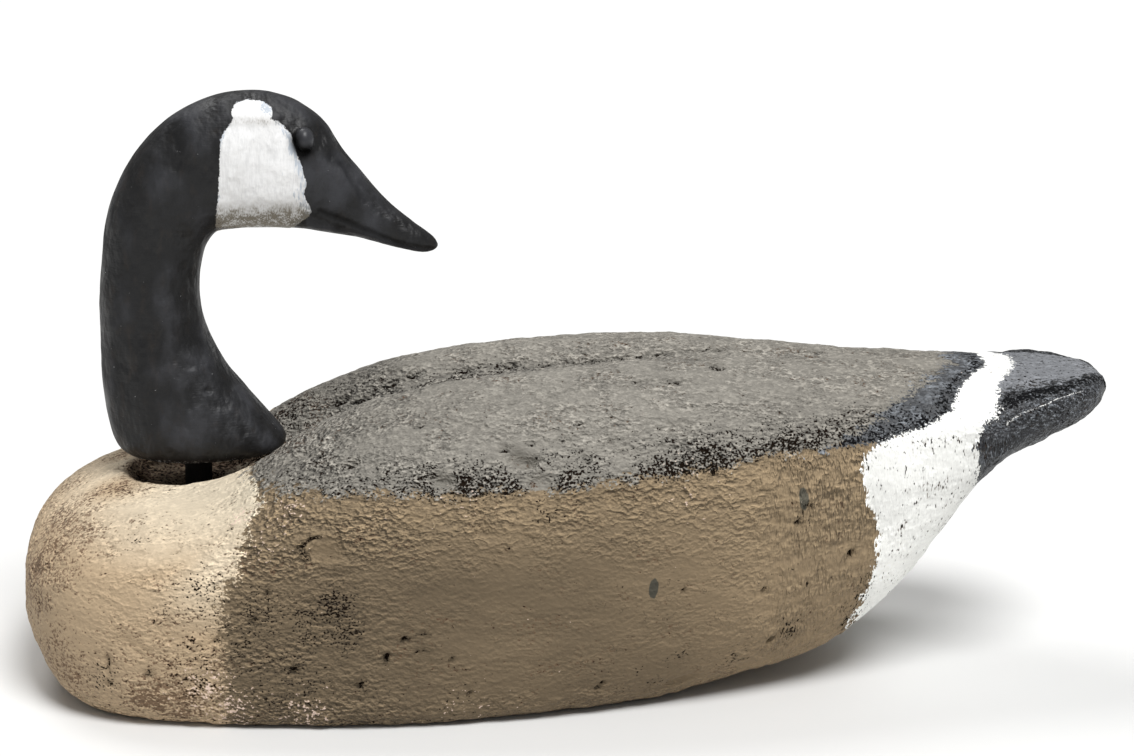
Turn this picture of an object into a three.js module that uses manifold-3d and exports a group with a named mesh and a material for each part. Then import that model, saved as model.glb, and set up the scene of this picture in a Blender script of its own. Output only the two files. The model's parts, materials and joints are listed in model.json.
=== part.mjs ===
// Goose decoy: a painted cork body, and a turned-back head that lifts off with its post.
// Millimetres. +X points to the tail, +Y to the goose's right side and +Z up. The origin is
// on the ground, below the middle of the body.

import * as THREE from 'three';
import { mergeVertices } from 'three/addons/utils/BufferGeometryUtils.js';
import Module from 'manifold-3d';

const wasm = await Module();
wasm.setup();

// Driving sizes of the body
const BODY_LENGTH = 634; // breast to tail tip
const BODY_WIDTH = 268; // across the flanks
const BODY_HEIGHT = 185; // ground to the top of the back

// Driving sizes of the neck and head
const HEAD_HEIGHT = 216; // underside of the neck to the crown of the head
const NECK_WIDTH = 70; // across the neck's foot
const EYE_DIAMETER = 13;
const EYE_BULGE = 3.5; // how far an eye stands out of the cheek

// Driving sizes of the post, and of the dish that it stands in
const POST_DIAMETER = 15.9;
const POST_CHAMFER = 1.5;
const POST_FROM_BREAST = 100; // front of the breast to the post's axis
const POST_IN_BODY = 60; // below the floor of the dish
const POST_IN_NECK = 45; // above the underside of the neck
const NECK_GAP = 17.4; // floor of the dish to the underside of the neck
const DISH_DEPTH = 14;
const DISH_MARGIN = 7; // dish beyond the neck's foot, on each side
const DISH_FLAT = 0.7; // flat part of the dish's floor, as a share of its radius

// Clearances
const POST_CLEARANCE = 0.3; // between the post and its holes, all round
const NECK_CLEARANCE = 2.5; // between the neck's foot and the shoulders

// Facets
const AROUND_POST = 24;
const AROUND_DISH = 36;
const DISH_STEPS = 5; // up the curve of its side
const AROUND_HEAD = 28;
const ALONG_HEAD = 34;
const ALONG_BODY = 48;
const SECTION_STEPS = { floor: 2, corner: 4, side: 6, crown: 18 }; // of half a body section
const AROUND_BODY = 2 * Object.values(SECTION_STEPS).reduce((sum, steps) => sum + steps);

// The body's sections from breast to tail. Along and up are percent of the body's length and
// height, across is percent of half its width, and the bottom corner is percent of the height.
// Top is the crown's own height, before the valley between the shoulders is taken out of it. A
// power of 2 makes the crown's section an ellipse, and a lower one makes it meet the side in an edge.
const BODY_SECTIONS = [
  // along, top, waist, keel, half, foot, corner, ridge, valley, power
  [0, 31.4, 31.4, 31.4, 0, 0, 0, 30, 0, 2.3],
  [0.4, 42.6, 31.4, 20, 34, 23, 10, 30, 0, 2.3],
  [1.7, 50.2, 31.9, 9.8, 58, 44, 11, 31, 0, 2.3],
  [5.1, 57.8, 33.5, 1.4, 81.5, 71, 10, 34, 0, 2.3],
  [10.6, 62.6, 36.8, 0, 95, 89.5, 8, 36, 0, 2.3],
  [17.1, 65.1, 39.5, 0, 99, 95.5, 6.5, 38, 0.5, 2.3],
  [20.4, 68.6, 41.1, 0, 99.6, 97, 6.5, 38, 6.4, 2.3],
  [23.7, 76.8, 43.2, 0, 100, 98.5, 6.5, 36.5, 14.4, 2.3],
  [28.2, 84.5, 44.9, 0, 100, 99.5, 6.5, 30, 12.8, 2.3],
  [34.5, 92.2, 46.5, 0, 100, 100, 6.5, 28.4, 9.6, 2.3],
  [44.8, 97.6, 48.6, 0, 99.3, 93.5, 7, 28.4, 7.2, 2.3],
  [55.9, 100, 52.4, 0, 94, 77.5, 7.5, 23, 5.3, 2.3],
  [65.3, 98.6, 58.4, 4.9, 84.7, 62.5, 8, 16.5, 2.1, 2.3],
  [73.3, 95.9, 64.3, 10.3, 73, 49.5, 8, 15, 0, 2.3],
  [81.2, 94.6, 70.3, 32, 61, 41, 8, 15, 0, 2.3],
  [87.5, 93.8, 78, 63.5, 51, 38, 6, 15, 0, 2.1],
  [93, 93, 87.3, 74.6, 45, 36, 4, 15, 0, 1.8],
  [96.4, 92.7, 89.3, 78.4, 36.5, 29, 3.5, 15, 0, 1.75],
  [98.6, 91.6, 89.2, 81, 24.5, 18, 3, 15, 0, 1.8],
  [99.7, 89.7, 88, 83.6, 12.5, 8.5, 1.5, 15, 0, 1.9],
  [100, 87.3, 87.3, 87.3, 0, 0, 0, 15, 0, 2],
];
const CROWN_CROWDING = 1.3; // crowds the facets towards the ridges and the valley
const SIDE_LEAN = 0.45; // where the leaning side turns upright, as a share of keel to waist

// The neck and head from the neck's foot to the bill's tip. The outer rail runs up the front of
// the neck, over the crown and down the bill, and the inner one up the back of the neck, along
// the throat and under the bill. Both are percent of the head's height, from the underside of
// the neck on the post's axis. Half is percent of half the neck's width.
const HEAD_RINGS = [
  // outer along, outer up, inner along, inner up, half
  [0, 0, 0, 0, 0],
  [-17, 0, 19, 0.8, 76],
  [-22.6, 4.6, 25, 3.6, 100],
  [-24.9, 17, 18.6, 12, 93],
  [-25.2, 31.6, 7.3, 26.3, 80],
  [-25, 42.7, 2.4, 39.1, 72],
  [-24, 53.7, 2.2, 49.4, 69],
  [-22.2, 65.9, 4, 57.3, 69],
  [-18, 76.7, 6.8, 61.4, 70],
  [-11.1, 86.9, 9, 62.2, 72],
  [-0.2, 95.6, 11.1, 62.4, 75],
  [13, 99.6, 15.1, 62.7, 76],
  [26.1, 98.2, 22.5, 62.6, 73],
  [35.2, 92.5, 29.2, 62.3, 65],
  [40.3, 85.2, 35, 61.4, 54],
  [45.7, 77.6, 39.8, 60.6, 44],
  [52.5, 69.5, 47.2, 59.1, 36],
  [59.8, 63.4, 55.7, 56.6, 30],
  [64.3, 60.1, 62.4, 55.2, 21],
  [66.2, 56.8, 66.2, 56.8, 0],
];
const HEAD_POWER = 2.2;
const EYE_RING = 12.62; // rings from the neck's foot
const EYE_UP = 0.56; // from the middle of its ring to the outer rail

// A smooth value from one row to the next, level with the slope between the rows on each side
function smooth(before, from, to, after, share) {
  const squared = share * share;
  const cubed = squared * share;
  const slopeFrom = (to - before) / 2;
  const slopeTo = (after - from) / 2;
  return (2 * cubed - 3 * squared + 1) * from
    + (cubed - 2 * squared + share) * slopeFrom
    + (3 * squared - 2 * cubed) * to
    + (cubed - squared) * slopeTo;
}

// The row at a share of a table's length. Past a closed end the table goes on as its own mirror
// image, so the end is round.
function rowAt(table, share, mirrored) {
  const last = table.length - 1;
  const place = share * last;
  const index = Math.min(Math.floor(place), last - 1);
  const before = index > 0 ? table[index - 1] : mirrored(table[1]);
  const after = index < last - 1 ? table[index + 2] : mirrored(table[last - 1]);
  return table[index].map((from, column) => (
    smooth(before[column], from, table[index + 1][column], after[column], place - index)
  ));
}

// A closed skin over rings of points. Each ring starts at the bottom, or at the inner rail, and
// goes round by the -Y side. The first and the last ring are single points.
function skin(around, along, ringAt) {
  const geometry = new THREE.SphereGeometry(1, around, along);
  const { position, uv } = geometry.attributes;
  const rings = Array.from({ length: along + 1 }, (_, step) => ringAt(step / along));
  for (let i = 0; i < position.count; i += 1) {
    const ring = rings[Math.round((1 - uv.getY(i)) * along)];
    const point = ring[(Math.round(uv.getX(i) * around) + around) % around];
    position.setXYZ(i, point.x, point.y, point.z);
  }
  return geometry;
}

// The solid that a geometry encloses, and the geometry of a solid
function solidOf(geometry) {
  geometry.deleteAttribute('normal');
  geometry.deleteAttribute('uv');
  const merged = mergeVertices(geometry);
  return new wasm.Manifold(new wasm.Mesh({
    numProp: 3,
    vertProperties: new Float32Array(merged.attributes.position.array),
    triVerts: new Uint32Array(merged.index.array),
  }));
}

function geometryOf(solid) {
  const mesh = solid.getMesh();
  const geometry = new THREE.BufferGeometry();
  geometry.setAttribute('position', new THREE.BufferAttribute(mesh.vertProperties, mesh.numProp));
  geometry.setIndex(new THREE.BufferAttribute(mesh.triVerts, 1));
  geometry.computeVertexNormals();
  return geometry;
}

// Turned about the post's axis, from a profile of points at a radius and a height
function turned(profile, around) {
  return new THREE.LatheGeometry(profile, around).rotateX(Math.PI / 2);
}

// Body: its outline, section by section

function bodyRowAt(share) {
  const mirrored = ([along, top, waist, keel, half, foot, ...rest]) => (
    [along, keel, waist, top, -half, -foot, ...rest]
  );
  const row = rowAt(BODY_SECTIONS, share, mirrored);
  const [along, top, waist, keel, half, foot, corner, ridge, valley] = row.map((size) => size / 100);
  const power = row.at(-1);
  return {
    x: (along - 0.5) * BODY_LENGTH,
    top: top * BODY_HEIGHT,
    waist: waist * BODY_HEIGHT,
    keel: Math.max(0, keel) * BODY_HEIGHT,
    half: half * BODY_WIDTH / 2,
    foot: foot * BODY_WIDTH / 2,
    corner: corner * BODY_HEIGHT,
    ridge: ridge * BODY_WIDTH / 2,
    valley: valley * BODY_HEIGHT,
    power,
  };
}

// A point of the crown, from the waist to the middle of the back
function crownPoint(row, share) {
  const turn = Math.PI / 2 * (1 - (1 - share) ** CROWN_CROWDING);
  const across = row.half * Math.cos(turn) ** (2 / row.power);
  const up = row.waist + (row.top - row.waist) * Math.sin(turn) ** (2 / row.power);
  const slope = Math.min(1, across / row.ridge);
  return new THREE.Vector2(across, up - row.valley * (1 + Math.cos(Math.PI * slope)) / 2);
}

// Half a section, from the middle of the keel out, up the side and over the crown
function halfSection(row) {
  const corner = new THREE.Vector2(row.foot, row.keel);
  const lean = new THREE.Vector2(row.half, row.keel + (row.waist - row.keel) * SIDE_LEAN);
  const waist = new THREE.Vector2(row.half, row.waist);
  const side = lean.clone().sub(corner);
  const radius = Math.min(row.corner, side.length());
  const floorEnd = corner.clone().setX(Math.max(0, row.foot - radius));
  const sideStart = corner.clone().add(side.setLength(radius));
  const curves = {
    floor: new THREE.LineCurve(new THREE.Vector2(0, row.keel), floorEnd),
    corner: new THREE.QuadraticBezierCurve(floorEnd, corner, sideStart),
    side: new THREE.QuadraticBezierCurve(sideStart, lean, waist),
  };
  const points = Object.entries(curves).flatMap(([part, curve]) => (
    curve.getPoints(SECTION_STEPS[part]).slice(0, -1)
  ));
  for (let step = 0; step <= SECTION_STEPS.crown; step += 1) {
    points.push(crownPoint(row, step / SECTION_STEPS.crown));
  }
  return points;
}

function bodyRing(share) {
  const row = bodyRowAt(share);
  const half = halfSection(row);
  const left = half.map(({ x, y }) => new THREE.Vector3(row.x, -x, y));
  const right = half.slice(1, -1).reverse().map(({ x, y }) => new THREE.Vector3(row.x, x, y));
  return [...left, ...right];
}

// Share of the section table at a distance along the body
function shareAt(x) {
  let low = 0;
  let high = 1;
  for (let halving = 0; halving < 30; halving += 1) {
    const middle = (low + high) / 2;
    if (bodyRowAt(middle).x < x) low = middle;
    else high = middle;
  }
  return low;
}

// Neck and head: rings from the neck's foot to the bill, about the post's axis

function headRowAt(share) {
  const mirrored = ([outerX, outerZ, innerX, innerZ, half]) => (
    [innerX, innerZ, outerX, outerZ, -half]
  );
  const row = rowAt(HEAD_RINGS, share, mirrored);
  const [outerX, outerZ, innerX, innerZ] = row.map((size) => size / 100 * HEAD_HEIGHT);
  return {
    outer: new THREE.Vector3(outerX, 0, outerZ),
    inner: new THREE.Vector3(innerX, 0, innerZ),
    half: row[4] / 100 * NECK_WIDTH / 2,
  };
}

// A point of a ring, at shares of the way from its middle to the outer rail and to its left side
function ringPoint({ outer, inner, half }, up, left) {
  const middle = outer.clone().add(inner).divideScalar(2);
  return middle.clone().addScaledVector(outer.clone().sub(middle), up).setY(-left * half);
}

function rounded(share, power) {
  return Math.sign(share) * Math.abs(share) ** (2 / power);
}

function headRing(share) {
  const row = headRowAt(share);
  return Array.from({ length: AROUND_HEAD }, (_, step) => {
    const turn = step / AROUND_HEAD * 2 * Math.PI;
    const up = rounded(-Math.cos(turn), HEAD_POWER);
    const left = rounded(Math.sin(turn), HEAD_POWER);
    return ringPoint(row, up, left);
  });
}

// An eye on the skin of the cheek, flattened so that it bulges only a little
function eye(side) {
  const row = headRowAt(EYE_RING / (HEAD_RINGS.length - 1));
  const out = (1 - EYE_UP ** HEAD_POWER) ** (1 / HEAD_POWER);
  const centre = ringPoint(row, EYE_UP, side * out);
  return new THREE.SphereGeometry(EYE_DIAMETER / 2, 20, 12)
    .scale(1, EYE_BULGE * 2 / EYE_DIAMETER, 1)
    .translate(centre.x, centre.y, centre.z);
}

// Dish, post and holes, from the same sizes

const dishRadius = NECK_WIDTH / 2 + DISH_MARGIN;
const postRadius = POST_DIAMETER / 2;
const postX = POST_FROM_BREAST - BODY_LENGTH / 2;
const breastTop = bodyRowAt(shareAt(postX)).top;
const dishFloor = breastTop - DISH_DEPTH;
const neckFoot = dishFloor + NECK_GAP;
const postBottom = dishFloor - POST_IN_BODY;
const postTop = neckFoot + POST_IN_NECK;

function dishCutter() {
  const profile = new THREE.Path()
    .moveTo(0, dishFloor)
    .lineTo(dishRadius * DISH_FLAT, dishFloor)
    .quadraticCurveTo(dishRadius, dishFloor, dishRadius, breastTop)
    .lineTo(dishRadius, breastTop + BODY_HEIGHT)
    .lineTo(0, breastTop + BODY_HEIGHT);
  return turned(profile.getPoints(DISH_STEPS), AROUND_DISH);
}

// A round bar about the post's axis, with its ends chamfered
function bar(radius, bottom, top, chamfer) {
  return turned([
    new THREE.Vector2(0, bottom),
    new THREE.Vector2(radius - chamfer, bottom),
    new THREE.Vector2(radius, bottom + chamfer),
    new THREE.Vector2(radius, top - chamfer),
    new THREE.Vector2(radius - chamfer, top),
    new THREE.Vector2(0, top),
  ], AROUND_POST);
}

function holeCutter() {
  const spare = POST_CLEARANCE;
  return bar(postRadius + spare, postBottom - spare, postTop + spare, POST_CHAMFER);
}

function bodyGeometry() {
  let solid = solidOf(skin(AROUND_BODY, ALONG_BODY, bodyRing));
  solid = solid.subtract(solidOf(dishCutter().translate(postX, 0, 0)));
  solid = solid.subtract(solidOf(holeCutter().translate(postX, 0, 0)));
  for (const [x, y, z] of [[1, 0, 0], [-1, 0, 0], [0, 1, 0], [0, -1, 0], [0, 0, -1]]) {
    const neck = skin(AROUND_HEAD, ALONG_HEAD, headRing).translate(
      postX + x * NECK_CLEARANCE,
      y * NECK_CLEARANCE,
      neckFoot + z * NECK_CLEARANCE,
    );
    solid = solid.subtract(solidOf(neck));
  }
  return geometryOf(solid);
}

function headGeometry() {
  let solid = solidOf(skin(AROUND_HEAD, ALONG_HEAD, headRing));
  for (const side of [-1, 1]) solid = solid.add(solidOf(eye(side)));
  return geometryOf(solid.subtract(solidOf(holeCutter().translate(0, 0, -neckFoot))));
}

// Paint: worn brown and grey on the body, and matt black on the head and the post

const paint = (color, roughness) => new THREE.MeshStandardMaterial({ color, roughness, metalness: 0 });

const body = new THREE.Mesh(bodyGeometry(), paint('#7c6f5e', 0.85));
body.name = 'body';

const head = new THREE.Mesh(headGeometry(), paint('#26272a', 0.55));
head.name = 'head_and_neck';
head.position.set(postX, 0, neckFoot);

const post = new THREE.Mesh(bar(postRadius, postBottom, postTop, POST_CHAMFER), paint('#141414', 0.7));
post.name = 'neck_post';
post.position.set(postX, 0, 0);

const decoy = new THREE.Group();
decoy.add(body, head, post);

export default decoy;
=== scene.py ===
# A goose decoy's finish: worn paint on a cork body, a matt black wooden head and its dowel.
# The tables are in millimetres and Blender is in metres. +X points to the tail and -Y to the
# goose's left side, which faces the camera. The right side is finished alike.

import functools
import json
import math

import bpy
import numpy as np
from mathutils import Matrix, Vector

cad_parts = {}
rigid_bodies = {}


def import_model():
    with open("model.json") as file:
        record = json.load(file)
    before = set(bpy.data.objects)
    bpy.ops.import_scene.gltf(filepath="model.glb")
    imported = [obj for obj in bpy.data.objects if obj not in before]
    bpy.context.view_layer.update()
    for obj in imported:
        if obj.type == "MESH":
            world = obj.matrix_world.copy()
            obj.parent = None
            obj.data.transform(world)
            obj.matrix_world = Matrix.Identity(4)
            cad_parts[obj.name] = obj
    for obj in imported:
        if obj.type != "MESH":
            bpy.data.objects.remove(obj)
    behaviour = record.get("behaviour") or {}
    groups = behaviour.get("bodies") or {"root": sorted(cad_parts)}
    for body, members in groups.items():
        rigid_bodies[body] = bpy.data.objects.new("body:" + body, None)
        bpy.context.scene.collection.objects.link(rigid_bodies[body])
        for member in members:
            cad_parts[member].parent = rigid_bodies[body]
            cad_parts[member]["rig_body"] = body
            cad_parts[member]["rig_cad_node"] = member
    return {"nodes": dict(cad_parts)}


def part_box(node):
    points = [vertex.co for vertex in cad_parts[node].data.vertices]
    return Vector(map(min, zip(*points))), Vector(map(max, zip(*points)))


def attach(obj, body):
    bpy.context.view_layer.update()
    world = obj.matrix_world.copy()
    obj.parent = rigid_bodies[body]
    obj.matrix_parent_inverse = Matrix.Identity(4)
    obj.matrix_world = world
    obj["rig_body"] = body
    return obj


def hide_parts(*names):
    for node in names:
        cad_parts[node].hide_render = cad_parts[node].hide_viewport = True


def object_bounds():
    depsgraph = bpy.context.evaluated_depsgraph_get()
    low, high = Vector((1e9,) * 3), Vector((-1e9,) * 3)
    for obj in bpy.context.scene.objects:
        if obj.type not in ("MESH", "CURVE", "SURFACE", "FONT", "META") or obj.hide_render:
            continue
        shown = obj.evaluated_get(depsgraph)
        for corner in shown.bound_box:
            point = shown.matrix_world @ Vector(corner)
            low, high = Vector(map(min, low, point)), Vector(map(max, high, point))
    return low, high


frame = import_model()
cad_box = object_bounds()

bl_info = {
    "name": "Goose decoy",
    "version": (1, 0, 0),
    "blender": (4, 5, 0),
    "location": "View3D > Sidebar > Decoy",
    "description": "Builds the worn cork body, painted head and neck dowel of a goose decoy",
    "category": "Object",
}

MM = 0.001

# Sockets of a Mix node that mixes colours, and of one that mixes values
FACTOR, BELOW, ABOVE, MIXED = 0, 6, 7, 2
FIRST, SECOND = 2, 3

# The body's paint lines. Girth is the way from the middle of the back out and down the side,
# taken square: across, and then down from BACK_HEIGHT. On the right it starts further out.
BACK_HEIGHT = 173
FAR_START = 25
RUMP_LINE = [  # grey meets slate: girth, along
    (0, 226), (11, 222), (25, 213), (42, 202), (63, 188), (80, 175), (96, 162), (109, 150),
    (125, 132),
]
STERN_LINE = [  # slate, and brown below it, meet white: girth, along
    (0, 246), (11, 243), (33, 230), (54, 222), (73, 217), (89, 201), (99, 183), (117, 164),
    (136, 163), (148, 167), (159, 172), (170, 174), (184, 172), (200, 165), (206, 160),
]
TAIL_LINE = [  # white meets the dark tail: girth, along
    (0, 263), (11, 260), (23, 255), (42, 246), (63, 245), (77, 242), (91, 232), (98, 230),
    (110, 233),
]
BACK_LINE = [  # brown meets grey: along, up
    (-174, 127), (-157, 130), (-107, 132), (-46, 133.5), (3, 136.5), (59, 141), (104, 146),
    (127, 147.5), (162, 148),
]
# The grey also fills the hollow of the back: within this far across, behind this place
HOLLOW_HALF_WIDTH, HOLLOW_FRONT = 60, -176
# Tan meets brown, and grey above it: degrees up from the side, about a line WAIST_HEIGHT up,
# and along
WAIST_HEIGHT = 60
BREAST_LINE = [
    (-12, -194), (-1, -194), (8, -195), (15, -185), (25, -181), (35, -175), (44, -176), (50, -180),
]
# The slate top of the tail, partly a painted highlight of the top light, and a scratch along its edge:
# along, out
TAIL_TOP_LINE = [(236, 53), (243, 47), (254, 43), (264, 38.5), (284, 34), (295, 26), (306, 15), (313, 6)]
SCRATCH_LINE = [(247, 64.8), (256.7, 61.1), (265.3, 58.6), (275.1, 54.9), (285.2, 49.7), (297, 41.5)]
# What lies lower than this is the tail's side or underside
TAIL_SHOULDER = 151
# How thick bare black grains lie along the lower edge of the grey: along, share
SEAM_GRAINS = [
    (-175, 0.55), (-130, 0.72), (-90, 0.85), (-75, 1.08), (-5, 1.08), (15, 0.82), (38, 0.92),
    (45, 1.06), (82, 1.06), (95, 0.88), (160, 0.95),
]
# The dish in front of the neck
DISH_ALONG, DISH_RADIUS, DISH_RIM = -217, 43, 119

# Soft round places, with their radius and strength. The right side has them too, weaker.
# Black pits, where crumbs of cork fell out
PIT_PLACES = [
    # along, across, up, radius, strength
    (-131, -134, 73, 15, 1.0), (-127, -134, 57, 13, 0.9), (-146, -134, 64, 20, 0.75),
    (-172, -134, 68, 22, 0.7), (-206, -132, 80, 20, 0.72), (-197, -133, 62, 13, 0.72),
    (-228, -131, 70, 9, 0.6), (-262, -120, 27, 17, 0.7), (-209, -133, 33, 26, 0.7),
    (-160, -133, 28, 34, 0.62), (-110, -134, 22, 20, 0.42), (-60, -131, 10, 30, 0.4),
    (-262, -40, 108, 20, 0.6), (-252, 0, 106, 14, 0.95), (-303, -80, 75, 30, 0.45),
    (-243, -100, 103, 9, 0.7), (-16, -126, 122, 9, 0.75), (60, -112, 34, 9, 0.6),
    (124, -92, 42, 11, 0.8), (95, -98, 30, 16, 0.55), (130, -100, 75, 34, 0.3),
    (129, -102, 110, 9, 0.75), (165, -84, 138, 9, 0.95), (-125, 25, 148, 34, 0.66),
    (-165, 30, 138, 26, 0.88), (-160, -52, 138, 18, 0.5), (40, -112, 14, 26, 0.4),
    (-150, -134, 44, 12, 0.6), (-185, -134, 52, 12, 0.7), (-212, -133, 52, 12, 0.6),
]
# Pale crumbs of bare cork
BARE_PLACES = [
    (-160, -118, 128, 17, 0.95), (-107, -128, 132, 9, 0.9), (-62, -125, 133, 18, 0.5),
    (-205, -133, 25, 22, 0.85), (-190, -133, 13, 20, 0.85), (-150, -133, 8, 22, 0.8),
    (-183, -100, 116, 12, 0.9), (62, -118, 140, 24, 0.5), (-60, -131, 4, 26, 0.5),
    (-172, -126, 112, 22, 0.6),
]
# Brown dirt rubbed into the breast
SOIL_PLACES = [
    (-303, -70, 82, 44, 0.95), (-283, -98, 88, 26, 0.8), (-262, -34, 110, 24, 1.0),
    (-250, -20, 108, 16, 0.95), (-290, -95, 30, 34, 0.75), (-225, -130, 22, 34, 0.85),
    (-190, -133, 30, 24, 0.9), (-300, 0, 60, 60, 0.75), (-165, 26, 138, 34, 0.8),
    (-212, -133, 60, 24, 0.7), (-282, -108, 102, 20, 0.5),
]
# Smooth filler, without stipple
SMOOTH_PLACES = [
    (-30.3, -107, 150.3, 11, 1.0), (-40, -103, 153, 8, 0.8), (-19.5, -117.9, 138.6, 9, 1.0),
    (-72.3, -114.3, 139.7, 8, 0.9), (26, -110.4, 146.7, 7, 0.9), (-138, -130, 105, 9, 1.0),
    (-217, -85, 113, 30, 0.75), (-275, -112, 55, 34, 0.7), (-20, -133, 80, 60, 0.45),
    (120, -106, 124, 12, 0.6), (-60, -60, 168, 60, 0.35),
]

# Holes of the body, broken and black inside. Turn is degrees up from the way to the tail.
BODY_HOLES = [
    # along, across, up, half length, half width, turn, depth
    (-140.7, -80.3, 144.5, 5.5, 2.8, 80, 5), (-33.4, -68.1, 171.4, 3.4, 2.2, 0, 3),
    (-85.7, -78.5, 160.9, 3.8, 2.6, 20, 3), (-136, -86, 141, 2.6, 2, 60, 3),
    (-31.9, 12, 170, 8, 2.2, 0, 3.6), (-13.3, 8, 171.2, 8, 2.2, -4, 3.6), (-22, 6, 172, 5, 2, 25, 4),
    (-61.5, 15, 166.5, 11, 2.2, 4, 3.6), (-50, 17, 168, 5, 2.4, -20, 4), (-90, 19, 163.3, 6, 2.4, 0, 3.6),
    (-119.6, 15.1, 149.9, 12, 2.4, 12, 3.4), (-137, 20, 147, 10, 3, 15, 4.5),
    (-105, 17, 158, 7, 2.4, 20, 4), (-59.2, -48.9, 173.3, 4, 2, 0, 3),
    (39, -53.9, 179.1, 5.5, 2.6, 0, 3.4), (59, -53.6, 178.8, 7, 3.4, 0, 3.6),
    (86, -33, 181.2, 5, 4.5, -10, 5), (77.7, -108.3, 142, 4.5, 2.4, 75, 3.6),
    (18.7, -99.7, 157.4, 4, 2.4, -30, 3.4), (-5.7, -98.7, 157.9, 3, 2, 0, 3),
    (-23.5, -100.6, 155.8, 3, 1.8, 0, 3), (2.5, -89.2, 164.3, 2.4, 1.8, 0, 3),
    (-51.1, -129.7, 115.7, 4, 2.6, -40, 3.2),
    (-94.6, -134, 53.8, 3, 2, 30, 4), (-104.7, -134.1, 43.3, 3, 2.3, 60, 4.4),
    (-119.3, -134.1, 27, 2.8, 2.2, 0, 4), (-156.1, -133.7, 36.2, 3.4, 2.4, 10, 3.6),
    (-116.4, -134.1, 64.6, 1.6, 1.6, 0, 3), (-68.8, -133.4, 42.6, 1.6, 1.5, 0, 3),
    (-59.1, -131.8, 20.6, 2, 1.8, 0, 3.2), (158, -91.7, 86.3, 2.8, 2.4, 70, 4.2),
    (126, -104.7, 109.4, 3.4, 2.4, 30, 3.2), (106.3, -107.3, 70.4, 1.6, 2.6, 0, 3.2),
    (60.8, -120.5, 76.2, 1.6, 1.6, 0, 3), (-245.2, -93.1, 104.6, 1.8, 1.8, 0, 3.2),
    (-220.7, -112.6, 99.7, 3.4, 2.2, 40, 3.4), (-190.2, -104.8, 110.2, 2.4, 2, 0, 3.2),
    (-250, 4, 106, 9, 3, 0, 4.5), (-262, -3, 112, 6, 3, 30, 3.2),
    (-259.5, -122.9, 37.6, 7, 1.8, 85, 3), (-236.5, -128.7, 33, 3.6, 3.4, 0, 2.8),
    (-259.6, -121.6, 25.8, 3, 2, 0, 3.2), (-263.7, -116, 88.4, 3.4, 2, 20, 2.6),
    (-198.5, -133.1, 53.6, 3.6, 2.4, 20, 3), (-177.2, -133.7, 66.4, 3, 2.4, 0, 2.6),
    (-169, -134, 82, 2.4, 1.8, 0, 3),
]
# Smooth dents and rises under the paint. Depth below nothing stands proud.
BODY_DENTS = [
    # along, across, up, half length, half width, turn, depth
    (-28, -108.5, 149, 14, 5, -22, 6.4), (-33, -100.5, 155, 16, 3, -20, -3.2),
    (-72.3, -114.3, 139.7, 14, 4, -25, 5.4), (-76, -109.5, 143.5, 13, 2.4, -25, -2.6),
    (-19.5, -117.9, 138.6, 12, 5, 4, 3.6), (-124, -95.1, 144.2, 7, 4, 10, 4.6),
    (18.7, -99.7, 157.4, 7, 5, -30, 2.4), (30, -104, 152, 9, 5, 10, 2.2), (5, -80, 167, 14, 7, 5, 2),
    (-58, -84, 161, 12, 6, -10, 2), (-100, -66, 162, 14, 6, 5, 1.8), (60, -92, 163, 16, 6, 5, 2.1),
    (-136.5, -130.4, 104.8, 10, 8, 0, 3.2), (-131, -132.6, 97, 11, 2.2, 8, -2),
    (-22.1, -129.6, 114.1, 7, 2.6, -30, -2.0), (-41.9, -132.7, 101, 7, 2, -50, -2),
    (-150, -70, 140, 9, 5, 30, 2.2), (-110, -104, 146, 8, 5, 0, 1.8), (-2, -124, 128, 9, 3, 20, -1.6),
    (20, -122, 130, 8, 3, -15, 2), (-80, -131, 118, 9, 3, 10, -1.6), (75, -118, 128, 10, 3, 5, -1.8),
    (110, -108, 134, 12, 3, 5, -1.6), (-110, -131, 120, 9, 3, -10, 2),
    (-51.1, -129.7, 115.7, 7, 5, -40, 1.8), (113, -109, 112, 4.4, 4, 0, 1.8),
    (60, -103, 15.5, 22, 4, 5, 2.4), (-221, -108.7, 101.9, 6, 5, 0, 1.8),
    (-241.4, -111.1, 97.1, 8, 4, 30, 2.0), (-230, -122, 88, 16, 4, 25, 1.6),
    (-205, -118, 94, 14, 3, 20, 1.3), (-270, -112, 62, 16, 5, 40, 1.6), (-245, -128, 50, 18, 4, -25, 1.4),
]
# Cracks of the body: half width, depth, and places along, across and up
BODY_CRACKS = [
    (1.5, 3.2, [(-147.5, -131.4, 100), (-149.2, -130.2, 103), (-149.2, -127.9, 107.5),
                (-145.3, -126.3, 111), (-139.8, -126.5, 112.1)]),
    (1.2, 2.4, [(-153, -128, 106.5), (-149.2, -127.9, 107.5)]),
    (1.4, 3.2, [(4.1, -105.1, 152.8), (9.4, -110.4, 147.4)]),
    (1.5, 3.6, [(106, -98.5, 29), (110, -96.5, 33), (119, -92, 43)]),
    (1.0, 1.8, [(-226, -131, 67), (-218, -132, 58), (-207, -133, 51)]),
    (1.0, 2.0, [(-88.1, -133.9, 47.2), (-79.3, -133.7, 46.4)]),
    (1.0, 1.8, [(-87, -133.9, 56), (-81, -133.9, 56)]),
    (1.0, 1.8, [(124, -106, 117), (131, -103, 119), (137, -101, 119)]),
    (1.2, 2.6, [(15, -118.5, 13), (12, -118.5, 17.5), (15.5, -118.5, 21)]),
    (1.5, 2.5, [(-41.2, -102.1, 153.6), (-30.7, -105.1, 151.9), (-18.6, -108.5, 149.4)]),
    (2.2, 1.9, [(-5, 8.5, 171.7), (14.6, 7, 173.9), (43.9, 7, 176.6), (72, 8.5, 178.4)]),
    (2.6, 2.9, [(80, 9, 178.8), (92, 9, 179)]),
    (1.9, 2.5, [(130, 9, 178.2), (150, 9, 177.4)]),
]

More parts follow.
